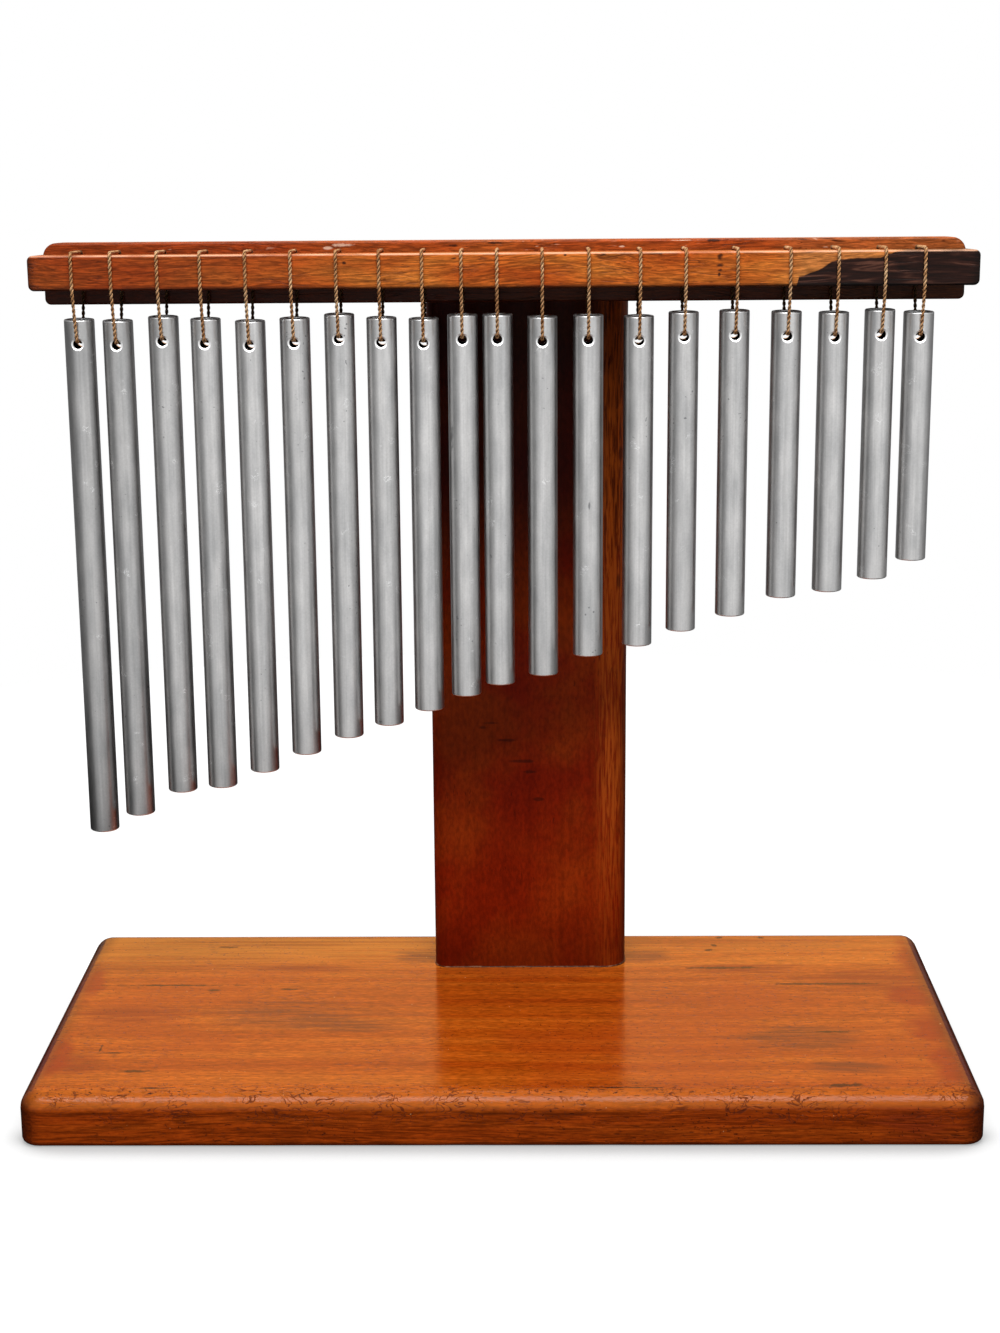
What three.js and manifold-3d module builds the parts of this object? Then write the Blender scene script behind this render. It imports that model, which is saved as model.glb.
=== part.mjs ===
// Tabletop chime: twenty aluminium tubes hang on twine loops from the header of a wooden stand.
// Millimetres, +Z up, front towards -Y, origin at the middle of the underside of the base.

import * as THREE from "three";
import { mergeVertices } from "three/addons/utils/BufferGeometryUtils.js";
import loadManifold from "manifold-3d";

// Base board
const baseWidth = 394;
const baseDepth = 188;
const baseHeight = 22.6;
const baseCornerRadius = 8;
const baseTopRadius = 7.5;
const baseBottomRadius = 2.5;

// Post, a plank that stands near the rear of the base and right of its middle
const postWidth = 88;
const postThickness = 38;
const postHeight = 328;
const postEdgeRadius = 6;
const postWornRadius = 9.5;
const postTopRadius = 1.5;
const postOffset = 12;
const postSetback = 8.5;

// Header: a tall back rail on the post and a deep front rail that carries the twine
const headerOffset = 2;
const backRailHeight = 26;
const backRailDepth = 19;
const backRailShoulder = 6;
const backRailHeel = 2.5;
const backRailAbovePost = 5.4;
const backRailShortfall = 1.5;
const frontRailHeight = 14.6;
const frontRailDepth = 23.5;
const frontRailCorner = 2.3;
const frontRailBelowTop = 3.5;
const railEdgeRadius = 1;
const railTopSlope = 0.05;

// Twine loops
const twineDiameter = 1.5;
const twineClearance = 0.3;
const twineHoleRoom = 0.3;
const twineHoleBend = 2.4;
const twineRailBend = 8;

// Tubes
const tubeDiameter = 12.7;
const tubeWall = 1.6;
const holeDiameter = 4;
const holeSink = 0.8;
const holeBelowRim = 10;

// The row from left to right: the cut lengths, the drops from the underside of the front rail
// to the tops of the tubes, and the spaces between neighbours
const rowInsetLeft = 18.3;
const rowInsetRight = 22.7;
const tubeLengths = [
  224, 216, 207, 204, 196, 189, 183, 176, 169, 164,
  159, 154, 146, 141, 136, 130, 121.5, 118.5, 114, 105,
];
const tubeDrops = [
  12.5, 13, 11.5, 12.5, 13.5, 12.5, 11, 12.5, 13, 11.5,
  11.5, 12.5, 12, 12.5, 11, 10.5, 11, 11.5, 10.5, 11.5,
];
const tubeSpaces = [3.5, 6.5, 5, 6, 6, 6, 5, 5, 3.5, 2, 6, 6.5, 8.5, 6, 8.5, 9, 7, 6.5, 3.5];

// Wood screws
const screwHead = 8;
const screwShank = 4;
const screwTip = 5;
const screwSunk = 0.5;
const screwClearance = 0.3;
const baseScrewBite = 23;
const postScrewBite = 12;
const railScrewBite = 11.5;
const postScrewSpacing = 48;
const railScrewsEachSide = 2;

// Fits and facets
const glueLine = 0.3;
const weldDistance = 1e-4;
const leastCorner = 0.3;
const edgeSteps = 3;
const cornerSteps = 3;
const tubeSides = 18;
const holeSides = 10;
const screwSides = 12;
const twineSides = 8;
const holeBendSteps = 2;
const railBendSteps = 1;
const crownBendSteps = 2;

// Places worked out from the sizes
const baseTop = baseHeight;
const postFoot = baseTop + glueLine;
const postTop = postFoot + postHeight;
const postRear = baseDepth / 2 - postSetback;
const postFront = postRear - postThickness;
const backRailTop = postTop + backRailAbovePost;
const backRailBottom = backRailTop - backRailHeight;
const backRailRear = postFront - glueLine;
const backRailFront = backRailRear - backRailDepth;
const railGap = twineDiameter + 2 * twineClearance;
const frontRailRear = backRailFront - railGap;
const frontRailTop = backRailTop - frontRailBelowTop;
const frontRailBottom = frontRailTop - frontRailHeight;
const rowY = frontRailRear - frontRailDepth / 2;
const tubeRadius = tubeDiameter / 2;
const twineRadius = twineDiameter / 2;
const rowLength = tubeSpaces.reduce((sum, space) => sum + tubeDiameter + space, 0);
const railLength = rowInsetLeft + rowLength + rowInsetRight;
const railLeft = headerOffset - railLength / 2;
const tubeX = [railLeft + rowInsetLeft];
tubeSpaces.forEach((space) => tubeX.push(tubeX.at(-1) + tubeDiameter + space));
const tubeTops = tubeDrops.map((drop) => frontRailBottom - drop);

// Finishes
const baseWood = new THREE.MeshStandardMaterial({ color: 0xa8643c, roughness: 0.42, metalness: 0 });
const postWood = new THREE.MeshStandardMaterial({ color: 0x7c4128, roughness: 0.42, metalness: 0 });
const railWood = new THREE.MeshStandardMaterial({ color: 0xa5592e, roughness: 0.45, metalness: 0 });
const aluminium = new THREE.MeshStandardMaterial({ color: 0xc4c5c8, roughness: 0.32, metalness: 1 });
const hemp = new THREE.MeshStandardMaterial({ color: 0xb89a6c, roughness: 0.9, metalness: 0 });
const zinc = new THREE.MeshStandardMaterial({ color: 0xb9b6ac, roughness: 0.4, metalness: 1 });

const manifold = await loadManifold();
manifold.setup();

// Points round a closed outline with round corners. Each corner is { across, up, radius, steps }.
function roundedOutline(corners) {
  const origin = new THREE.Vector2();
  const points = [];
  corners.forEach((corner, index) => {
    const tip = new THREE.Vector2(corner.across, corner.up);
    const last = corners.at(index - 1);
    const next = corners[(index + 1) % corners.length];
    const back = new THREE.Vector2(last.across, last.up).sub(tip).normalize();
    const ahead = new THREE.Vector2(next.across, next.up).sub(tip).normalize();
    const half = Math.acos(back.dot(ahead)) / 2;
    const turn = (Math.PI - 2 * half) * Math.sign(ahead.cross(back));
    const middle = back.clone().add(ahead).normalize();
    const centre = middle.multiplyScalar(corner.radius / Math.sin(half)).add(tip);
    const first = back.multiplyScalar(corner.radius / Math.tan(half)).add(tip).sub(centre);
    for (let step = 0; step <= corner.steps; step += 1) {
      const spoke = first.clone().rotateAround(origin, (turn * step) / corner.steps);
      points.push(spoke.add(centre));
    }
  });
  return points;
}

// A closed skin over rings of points. The rings meet end to end, or a flat cap closes each end.
function skin(rings, endToEnd) {
  const count = rings[0].length;
  const positions = rings.flat().flatMap((point) => [point.x, point.y, point.z]);
  const faces = [];
  const spans = endToEnd ? rings.length : rings.length - 1;
  for (let ring = 0; ring < spans; ring += 1) {
    const lower = ring * count;
    const upper = ((ring + 1) % rings.length) * count;
    for (let side = 0; side < count; side += 1) {
      const next = (side + 1) % count;
      faces.push(lower + side, lower + next, upper + next);
      faces.push(lower + side, upper + next, upper + side);
    }
  }
  const top = (rings.length - 1) * count;
  for (let side = 1; !endToEnd && side < count - 1; side += 1) {
    faces.push(0, side + 1, side);
    faces.push(top, top + side, top + side + 1);
  }
  const geometry = new THREE.BufferGeometry();
  geometry.setAttribute("position", new THREE.Float32BufferAttribute(positions, 3));
  geometry.setIndex(faces);
  geometry.computeVertexNormals();
  return geometry;
}

// The insets and heights of the rings that round an edge, from the wall to the end face.
function edgeRings(radius) {
  if (radius === 0) {
    return [{ inset: 0, rise: 0 }];
  }
  const rings = [];
  for (let step = 0; step <= edgeSteps; step += 1) {
    const angle = (Math.PI / 2) * (step / edgeSteps);
    rings.push({ inset: radius * (1 - Math.cos(angle)), rise: radius * Math.sin(angle) });
  }
  return rings;
}

// A block that stands on z = 0 with round upright corners and round lower and upper edges.
// The corner radii run from the front left anticlockwise.
function roundedBlock(width, depth, height, radii, lowerRadius, upperRadius) {
  const ring = (inset, z) => {
    const x = width / 2 - inset;
    const y = depth / 2 - inset;
    const places = [[-x, -y], [x, -y], [x, y], [-x, y]];
    const corners = places.map(([across, up], index) => {
      const radius = Math.max(radii[index] - inset, leastCorner);
      return { across, up, radius, steps: cornerSteps };
    });
    return roundedOutline(corners).map((point) => new THREE.Vector3(point.x, point.y, z));
  };
  const lower = edgeRings(lowerRadius).map(({ inset, rise }) => ring(inset, lowerRadius - rise));
  const upper = edgeRings(upperRadius).map(({ inset, rise }) => ring(inset, height - upperRadius + rise));
  return skin([...lower.reverse(), ...upper], false);
}

// A bar along X with its rear face on y = 0 and its foot on z = 0. Its top falls towards the rear.
function railBlock(length, depth, height, upperRadius, lowerRadius) {
  const radii = [lowerRadius, lowerRadius, upperRadius, upperRadius];
  const block = roundedBlock(length, height, depth, radii, railEdgeRadius, railEdgeRadius);
  block.rotateX(Math.PI / 2);
  block.translate(0, 0, height / 2);
  const points = block.attributes.position;
  for (let index = 0; index < points.count; index += 1) {
    const up = points.getZ(index);
    const fall = up > height / 2 ? railTopSlope * (points.getY(index) + depth) : 0;
    points.setZ(index, up - fall);
  }
  return block;
}

function toSolid(geometry) {
  const bare = geometry.clone();
  bare.deleteAttribute("normal");
  bare.deleteAttribute("uv");
  const welded = mergeVertices(bare, weldDistance);
  const mesh = new manifold.Mesh({
    numProp: 3,
    vertProperties: new Float32Array(welded.attributes.position.array),
    triVerts: new Uint32Array(welded.index.array),
  });
  return new manifold.Manifold(mesh);
}

function cut(geometry, cutters) {
  const left = cutters.reduce((solid, cutter) => solid.subtract(toSolid(cutter)), toSolid(geometry));
  const mesh = left.getMesh();
  const result = new THREE.BufferGeometry();
  result.setAttribute("position", new THREE.Float32BufferAttribute(mesh.vertProperties, 3));
  result.setIndex(Array.from(mesh.triVerts));
  result.computeVertexNormals();
  return result;
}

// A solid of revolution about +Z from a profile of [radius, height] points.
function turned(profile, sides) {
  const geometry = new THREE.LatheGeometry(profile.map(([r, z]) => new THREE.Vector2(r, z)), sides);
  geometry.rotateX(Math.PI / 2);
  return geometry;
}

// A countersunk wood screw that points along +Z, with its head's face on z = 0.
function screwBody(length) {
  const head = screwHead / 2;
  const shank = screwShank / 2;
  const profile = [[0, 0], [head, 0], [shank, head - shank], [shank, length - screwTip], [0, length]];
  return turned(profile, screwSides);
}

// The hole that such a screw leaves in the wood, open past its head.
function screwHole(length) {
  const head = screwHead / 2 + screwClearance;
  const shank = screwShank / 2 + screwClearance;
  const deep = length + screwClearance;
  const mouth = -2 * screwSunk;
  const profile = [[0, mouth], [head, mouth], [head, 0], [shank, head - shank], [shank, deep], [0, deep]];
  return turned(profile, screwSides);
}

// The middles of the gaps between tubes that lie nearest to even steps on each side of the post
function railScrewPlaces() {
  const gaps = tubeSpaces.map((space, index) => (tubeX[index] + tubeX[index + 1]) / 2);
  const postSides = [postOffset - postWidth / 2, postOffset + postWidth / 2];
  const stretches = [[tubeX[0], postSides[0]], [postSides[1], tubeX.at(-1)]];
  const nearest = (x) => gaps.reduce((best, gap) => (Math.abs(gap - x) < Math.abs(best - x) ? gap : best));
  return stretches.flatMap(([from, to]) => {
    const step = (to - from) / railScrewsEachSide;
    return Array.from({ length: railScrewsEachSide }, (_, index) => nearest(from + step * (index + 0.5)));
  });
}

// Each screw's name, length, head place and direction
function screwPlan() {
  const plan = [];
  [-1, 1].forEach((side, index) => {
    const x = postOffset + (side * postScrewSpacing) / 2;
    const underside = new THREE.Vector3(x, (postFront + postRear) / 2, screwSunk);
    const baseLength = postFoot + baseScrewBite - screwSunk;
    plan.push({ name: `base_screw_${index + 1}`, length: baseLength, head: underside, up: true });
    const back = new THREE.Vector3(x, postRear - screwSunk, (backRailBottom + postTop) / 2);
    const postLength = postRear - backRailRear + postScrewBite - screwSunk;
    plan.push({ name: `post_screw_${index + 1}`, length: postLength, head: back, up: false });
  });
  railScrewPlaces().forEach((x, index) => {
    const rear = new THREE.Vector3(x, backRailRear - screwSunk, (frontRailTop + frontRailBottom) / 2);
    const railScrewLength = backRailRear - frontRailRear + railScrewBite - screwSunk;
    plan.push({ name: `rail_screw_${index + 1}`, length: railScrewLength, head: rear, up: false });
  });
  return plan;
}

// Turns a screw or its hole from +Z to where the screw goes: up from below, or forwards from behind.
function aim(geometry, screw) {
  if (!screw.up) {
    geometry.rotateX(Math.PI / 2);
  }
  return geometry.translate(screw.head.x, screw.head.y, screw.head.z);
}

const screws = screwPlan();
const screwHoles = screws.map((screw) => aim(screwHole(screw.length), screw));

function numbered(name, index) {
  return `${name}_${String(index + 1).padStart(2, "0")}`;
}

function named(name, geometry, material) {
  const mesh = new THREE.Mesh(geometry, material);
  mesh.name = name;
  return mesh;
}

function baseBoard() {
  const radii = Array(4).fill(baseCornerRadius);
  const board = roundedBlock(baseWidth, baseDepth, baseHeight, radii, baseBottomRadius, baseTopRadius);
  return named("base_board", cut(board, screwHoles), baseWood);
}

// The post's right front edge is worn rounder than the others.
function post() {
  const radii = [postEdgeRadius, postWornRadius, postEdgeRadius, postEdgeRadius];
  const plank = roundedBlock(postWidth, postThickness, postHeight, radii, 0, postTopRadius);
  plank.translate(postOffset, (postFront + postRear) / 2, postFoot);
  return named("post", cut(plank, screwHoles), postWood);
}

function backRail() {
  const length = railLength - 2 * backRailShortfall;
  const rail = railBlock(length, backRailDepth, backRailHeight, backRailShoulder, backRailHeel);
  rail.translate(headerOffset, backRailRear, backRailBottom);
  return named("back_rail", cut(rail, screwHoles), railWood);
}

function frontRail() {
  const rail = railBlock(railLength, frontRailDepth, frontRailHeight, frontRailCorner, frontRailCorner);
  rail.translate(headerOffset, frontRailRear, frontRailBottom);
  return named("front_rail", cut(rail, screwHoles), railWood);
}

// The cross hole through both walls of a tube, with a countersunk mouth at each end.
function crossHole() {
  const bore = holeDiameter / 2;
  const mouth = bore + 2 * holeSink;
  const sunk = tubeRadius - holeSink;
  const out = tubeRadius + holeSink;
  const profile = [[0, -out], [mouth, -out], [bore, -sunk], [bore, sunk], [mouth, out], [0, out]];
  return turned(profile, holeSides).rotateX(Math.PI / 2);
}

function tube(index) {
  const bore = tubeRadius - tubeWall;
  const top = tubeTops[index];
  const foot = top - tubeLengths[index];
  const profile = [[bore, top], [bore, foot], [tubeRadius, foot], [tubeRadius, top], [bore, top]];
  const pipe = turned(profile, tubeSides);
  const hole = crossHole().translate(0, 0, top - holeBelowRim);
  const mesh = named(numbered("chime_tube", index), cut(pipe, [hole]), aluminium);
  mesh.position.set(tubeX[index], rowY, 0);
  return mesh;
}

// One loop of twine: through the tube's two holes, up both faces of the front rail and over its top.
function twineLoop(index) {
  const hole = tubeTops[index] - holeBelowRim;
  const bridge = hole + holeDiameter / 2 - twineRadius - twineHoleRoom;
  const lip = tubeRadius + twineHoleBend / 2;
  const strand = frontRailDepth / 2 + twineClearance + twineRadius;
  const overRail = frontRailTop + twineClearance + twineRadius;
  const crown = (across) => overRail - railTopSlope * (across + frontRailDepth / 2);
  const crownBend = railEdgeRadius + twineClearance + twineRadius;
  const corners = [
    { across: -lip, up: bridge, radius: twineHoleBend, steps: holeBendSteps },
    { across: lip, up: bridge, radius: twineHoleBend, steps: holeBendSteps },
    { across: strand, up: frontRailBottom, radius: twineRailBend, steps: railBendSteps },
    { across: strand, up: crown(strand), radius: crownBend, steps: crownBendSteps },
    { across: -strand, up: crown(-strand), radius: crownBend, steps: crownBendSteps },
    { across: -strand, up: frontRailBottom, radius: twineRailBend, steps: railBendSteps },
  ];
  const route = roundedOutline(corners);
  const rings = route.map((point, step) => {
    const arriving = point.clone().sub(route.at(step - 1)).normalize();
    const leaving = route[(step + 1) % route.length].clone().sub(point).normalize();
    const along = arriving.add(leaving).normalize();
    const ring = [];
    for (let side = 0; side < twineSides; side += 1) {
      const angle = (2 * Math.PI * (side + 0.5)) / twineSides;
      const out = twineRadius * Math.cos(angle);
      const left = -twineRadius * Math.sin(angle);
      ring.push(new THREE.Vector3(left, point.x + along.y * out, point.y - along.x * out));
    }
    return ring;
  });
  const mesh = named(numbered("twine_loop", index), skin(rings, true), hemp);
  mesh.position.set(tubeX[index], rowY, 0);
  return mesh;
}

function stand() {
  const group = new THREE.Group();
  group.add(baseBoard(), post(), backRail(), frontRail());
  screws.forEach((screw) => group.add(named(screw.name, aim(screwBody(screw.length), screw), zinc)));
  return group;
}

const tabletopChime = new THREE.Group();
tabletopChime.add(stand());
tubeX.forEach((x, index) => tabletopChime.add(twineLoop(index), tube(index)));

export default tabletopChime;
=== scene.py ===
"""Dresses the tabletop chime in Blender: worn varnished wood, drawn aluminium tubes, two-ply twine and
zinc screws, seen by the photograph's camera on a plain white floor. Metres, in the CAD model's frame."""

import math
import random

import bmesh
import bpy
from mathutils import Matrix, Vector, noise
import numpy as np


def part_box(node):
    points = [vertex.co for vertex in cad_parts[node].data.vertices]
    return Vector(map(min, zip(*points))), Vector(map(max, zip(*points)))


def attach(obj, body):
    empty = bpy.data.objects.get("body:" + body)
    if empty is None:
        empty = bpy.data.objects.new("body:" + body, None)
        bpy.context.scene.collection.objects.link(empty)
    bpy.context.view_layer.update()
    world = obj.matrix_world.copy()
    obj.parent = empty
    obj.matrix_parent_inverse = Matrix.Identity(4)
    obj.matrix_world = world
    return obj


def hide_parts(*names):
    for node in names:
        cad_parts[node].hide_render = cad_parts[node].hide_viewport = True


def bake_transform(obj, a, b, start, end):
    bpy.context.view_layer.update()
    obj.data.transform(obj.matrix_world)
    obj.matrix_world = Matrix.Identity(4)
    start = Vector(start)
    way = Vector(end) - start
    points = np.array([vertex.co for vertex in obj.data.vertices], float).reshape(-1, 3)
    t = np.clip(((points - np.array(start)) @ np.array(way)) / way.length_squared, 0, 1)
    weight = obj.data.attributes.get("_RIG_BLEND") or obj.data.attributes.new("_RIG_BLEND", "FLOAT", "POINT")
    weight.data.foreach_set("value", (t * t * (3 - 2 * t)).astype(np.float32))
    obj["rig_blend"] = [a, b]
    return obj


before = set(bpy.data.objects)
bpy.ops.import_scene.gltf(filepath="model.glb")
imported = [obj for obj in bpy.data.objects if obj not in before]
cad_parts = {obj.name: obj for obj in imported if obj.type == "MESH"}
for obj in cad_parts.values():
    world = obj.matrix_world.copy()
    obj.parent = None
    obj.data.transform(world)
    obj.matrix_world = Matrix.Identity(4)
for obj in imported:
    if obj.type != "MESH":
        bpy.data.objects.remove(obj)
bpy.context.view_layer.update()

MM = 0.001
SAME_PLACE = 0.001 * MM

# The photograph's frame and the camera that fits it
PHOTO_HEIGHT = 1333
FOCAL_PIXELS = 2331.7
SENSOR = 36.0
CAMERA_PLACE = Vector((14.2, -967.1, 421.2)) * MM
CAMERA_PITCH = math.radians(14.1)
CAMERA_YAW = math.radians(-0.856)
CAMERA_ROLL = math.radians(-0.456)

# Sizes that the CAD source has and the frame's boxes don't show
BASE_CORNER = 8 * MM
BASE_TOP_EDGE = 7.5 * MM
BASE_BOTTOM_EDGE = 2.5 * MM
POST_CORNER = 6 * MM
POST_WORN_CORNER = 9.5 * MM
POST_TOP_EDGE = 1.5 * MM
BACK_RAIL_SHOULDER = 6 * MM
BACK_RAIL_HEEL = 2.5 * MM
FRONT_RAIL_CORNER = 2.3 * MM
RAIL_EDGE = 1 * MM
RAIL_TOP_SLOPE = 0.05
TUBE_WALL = 1.6 * MM
HOLE_RADIUS = 2 * MM
HOLE_BELOW_RIM = 10 * MM
TWINE_DIAMETER = 1.5 * MM
TWINE_CLEARANCE = 0.3 * MM
TWINE_HOLE_ROOM = 0.3 * MM
TWINE_HOLE_BEND = 2.4 * MM
TWINE_RAIL_BEND = 8 * MM
SCREW_HEAD = 4 * MM
SCREW_SHANK = 2 * MM
SCREW_TIP = 5 * MM
SCREW_SUNK = 0.5 * MM
SCREW_CLEARANCE = 0.3 * MM

# Finer detail that only the picture has
ARC_STEPS = 8
BEVEL_STEPS = 6
ROUND_PROFILE = 0.5
WOOD_SHARP = math.radians(40)
WEAR_STEP = 5 * MM
WEAR_DEPTH = 0.25 * MM
WEAR_PER_METRE = 60
FLAT_NORMAL = 0.98
EDGE_NORMAL = 0.7
TUBE_SIDES = 72
RIM_ROUND = 0.6 * MM
RIM_STEPS = 4
RIM_SLOPE = 0.1
ROUND_TOLERANCE = 0.05 * RIM_ROUND
MOUTH_WIDTH = 0.62 * MM
MOUTH_DEPTH = 0.35 * MM
HOLE_SIDES = 40
TWINE_STEP = 0.3 * MM
PLY_RADIUS = 0.47 * MM
PLY_OFFSET = 0.28 * MM
PLY_PITCH = 4.4 * MM
PLY_SIDES = 8
HAIRS_PER_LOOP = 14
HAIR_RADIUS = 0.035 * MM
HAIR_SHORTEST = 0.7 * MM
HAIR_LONGEST = 1.9 * MM
HAIR_LEAN = 0.8
HAIR_TIP = 0.15
KNOT_SIZE = 0.55 * MM
KNOT_STEPS = 42
KNOT_RADIUS = 1.3 * PLY_RADIUS
SCREW_POINT = 0.1 * MM
SCREW_SHARP = math.radians(30)
RECESS_REACH = 2.3 * MM
RECESS_WIDTH = 0.9 * MM
RECESS_DEPTH = 1.6 * MM
RECESS_TAPER = 0.4
GLUE_WIDTH = 0.7 * MM
GLUE_STEP = 1.5 * MM
GLUE_MEAN = 0.55
GLUE_UNEVEN = 0.5
GLUE_LUMPS_PER_METRE = 120
GLUE_RISE = 0.7
GLUE_BULGE = 0.12
WOOD_RELIEF = 0.12 * MM
METAL_RELIEF = 0.05 * MM
TWINE_RELIEF = 0.08 * MM

# Floor, in metres, and light: a pair says where a change starts and ends, and tones run from rear to front
FLOOR_RADIUS = 0.75
FLOOR_SIDES = 96
FLOOR_TONE = 0.2
FADE_ROUND = (0.15, 0.35)
FADE_BEHIND = (0.06, 0.11)
CONTACT_REACH = 0.02
CONTACT_SHADE = 0.5
CONTACT_IN_FRONT = (-0.07, -0.09)
MIRRORED_IN_FRONT = (-0.15, -0.45)
BACKDROP_LIGHT = 0.6
FRONT_LIGHT = 0.03
BACKDROP_EDGE = (0.0, 0.6)
REAR_WALL = (2.2, 1.0, 0.34, 1.0)
REAR_WALL_SIDES = (0.86, 0.94)
STRIP_SIDES = (0.968, 0.978)
STRIP_FOOT = (0.01, 0.05)
STRIP_TOP = (0.15, 0.26)
ROOM_TURN = math.radians(18)
ROOM_TONES = [(0.3, 0.2), (0.5, 0.3), (0.66, 0.44), (0.78, 0.66), (0.88, 0.92), (0.95, 1.05), (1.0, 1.0)]
HIGH_TONES = [(0.2, 0.3), (0.45, 0.2), (0.8, 0.7)]
KEY_POWER = 28
KEY_PLACE = Vector((0, -0.75, 1.4))
KEY_AIM = Vector((0, 0, 0.1))
KEY_WIDTH = 1.2
KEY_HEIGHT = 0.8

CHIMES = 20


def make_camera():
    lens = bpy.data.cameras.new("camera")
    lens.sensor_width = SENSOR
    lens.lens = FOCAL_PIXELS * SENSOR / PHOTO_HEIGHT
    camera = bpy.data.objects.new("camera", lens)
    aim = Matrix.Rotation(-CAMERA_YAW, 4, "Z") @ Matrix.Rotation(math.pi / 2 - CAMERA_PITCH, 4, "X")
    camera.matrix_world = Matrix.Translation(CAMERA_PLACE) @ aim @ Matrix.Rotation(CAMERA_ROLL, 4, "Z")
    bpy.context.scene.collection.objects.link(camera)
    bpy.context.scene.camera = camera


def object_from(name, shape):
    """An object from a bmesh, which is used up."""
    mesh = bpy.data.meshes.new(name)
    shape.to_mesh(mesh)
    shape.free()
    piece = bpy.data.objects.new(name, mesh)
    bpy.context.scene.collection.objects.link(piece)
    return piece


def solid_from(name, shape):
    """An object from a closed bmesh, with its faces turned outwards. The bmesh is used up."""
    bmesh.ops.recalc_face_normals(shape, faces=shape.faces)
    return object_from(name, shape)


def smooth(piece, sharp_from=math.pi):
    """Shades a piece as round, with sharp edges where its faces meet at more than an angle."""
    for polygon in piece.data.polygons:
        polygon.use_smooth = True
    if sharp_from < math.pi:
        piece.data.set_sharp_from_angle(angle=sharp_from)


def around(count):
    """Angles in equal steps round a full turn."""
    return [2 * math.pi * step / count for step in range(count)]


def skin(shape, rings, closed=False):
    """Adds faces between rings of points and gives their vertices. Rings that don't close up get caps."""
    verts = [[shape.verts.new(point) for point in ring] for ring in rings]
    count = len(rings[0])
    spans = len(rings) if closed else len(rings) - 1
    for index in range(spans):
        near = verts[index]
        far = verts[(index + 1) % len(rings)]
        for side in range(count):
            after = (side + 1) % count
            shape.faces.new((near[side], near[after], far[after], far[side]))
    if not closed:
        shape.faces.new(reversed(verts[0]))
        shape.faces.new(verts[-1])
    return verts


def turned(profile, sides, place, closed=False):
    """A bmesh turned about +Z from a profile of (radius, height) points and moved to its place."""
    rings = []
    for radius, height in profile:
        ring = [Vector((radius * math.cos(a), radius * math.sin(a), height)) for a in around(sides)]
        rings.append([place @ point for point in ring])
    shape = bmesh.new()
    skin(shape, rings, closed)
    return shape


def cut(piece, cutters):
    """Cuts the cutters out of the piece, and removes them."""
    for cutter in cutters:
        modifier = piece.modifiers.new("cut", "BOOLEAN")
        modifier.operation = "DIFFERENCE"
        modifier.solver = "EXACT"
        modifier.object = cutter
    view = bpy.context.evaluated_depsgraph_get()
    result = bpy.data.meshes.new_from_object(piece.evaluated_get(view))
    piece.modifiers.clear()
    piece.data = result
    for cutter in cutters:
        bpy.data.objects.remove(cutter)


def paint(piece, material):
    piece.data.materials.clear()
    piece.data.materials.append(material)


# Twine


def rounded_route(corners, steps=ARC_STEPS):
    """Points round a closed outline. Each corner is a place and the radius of its arc."""
    points = []
    for index, (place, radius) in enumerate(corners):
        back = (corners[index - 1][0] - place).normalized()
        ahead = (corners[(index + 1) % len(corners)][0] - place).normalized()
        half = back.angle(ahead) / 2
        centre = place + (back + ahead).normalized() * (radius / math.sin(half))
        first = (place + back * (radius / math.tan(half)) - centre).normalized()
        last = (place + ahead * (radius / math.tan(half)) - centre).normalized()
        points += [centre + first.slerp(last, step / steps) * radius for step in range(steps + 1)]
    return points


def evenly(points, step):
    """The closed route again in equal steps of about this length, and how long it is."""
    ends = points[1:] + points[:1]
    lengths = [(end - start).length for start, end in zip(points, ends)]
    total = sum(lengths)
    count = round(total / step)
    even = []
    walked = 0.0
    for start, end, length in zip(points, ends, lengths):
        while len(even) < count and len(even) * total / count <= walked + length:
            share = (len(even) * total / count - walked) / max(length, SAME_PLACE)
            even.append(start.lerp(end, share))
        walked += length
    return even, total


def twine_route(tube_node):
    """The loop's centreline and its length. It runs from inside the tube out at the rear, over the front
    rail and in at the front."""
    rail_low, rail_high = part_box("front_rail")
    tube_low, tube_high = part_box(tube_node)
    middle = (tube_low + tube_high) / 2
    radius = TWINE_DIAMETER / 2
    hole = tube_high.z - HOLE_BELOW_RIM
    bridge = hole + HOLE_RADIUS - radius - TWINE_HOLE_ROOM
    lip = (tube_high.y - tube_low.y) / 2 + TWINE_HOLE_BEND / 2
    strand = (rail_high.y - rail_low.y) / 2 + TWINE_CLEARANCE + radius
    front_crown = rail_high.z + TWINE_CLEARANCE + radius
    rear_crown = front_crown - RAIL_TOP_SLOPE * 2 * strand
    crown_bend = RAIL_EDGE + TWINE_CLEARANCE + radius
    plan = [
        (lip, bridge, TWINE_HOLE_BEND),
        (strand, rail_low.z, TWINE_RAIL_BEND),
        (strand, rear_crown, crown_bend),
        (-strand, front_crown, crown_bend),
        (-strand, rail_low.z, TWINE_RAIL_BEND),
        (-lip, bridge, TWINE_HOLE_BEND),
    ]
    corners = [(Vector((middle.x, middle.y + along, up)), bend) for along, up, bend in plan]
    start = Vector((middle.x, middle.y, bridge))
    return evenly([start] + rounded_route(corners), TWINE_STEP)


def across_route(route, index):
    """Two directions square to a route that lies in a plane of constant X."""
    along = (route[(index + 1) % len(route)] - route[index - 1]).normalized()
    side = Vector((1, 0, 0))
    return side, along.cross(side)


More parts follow.
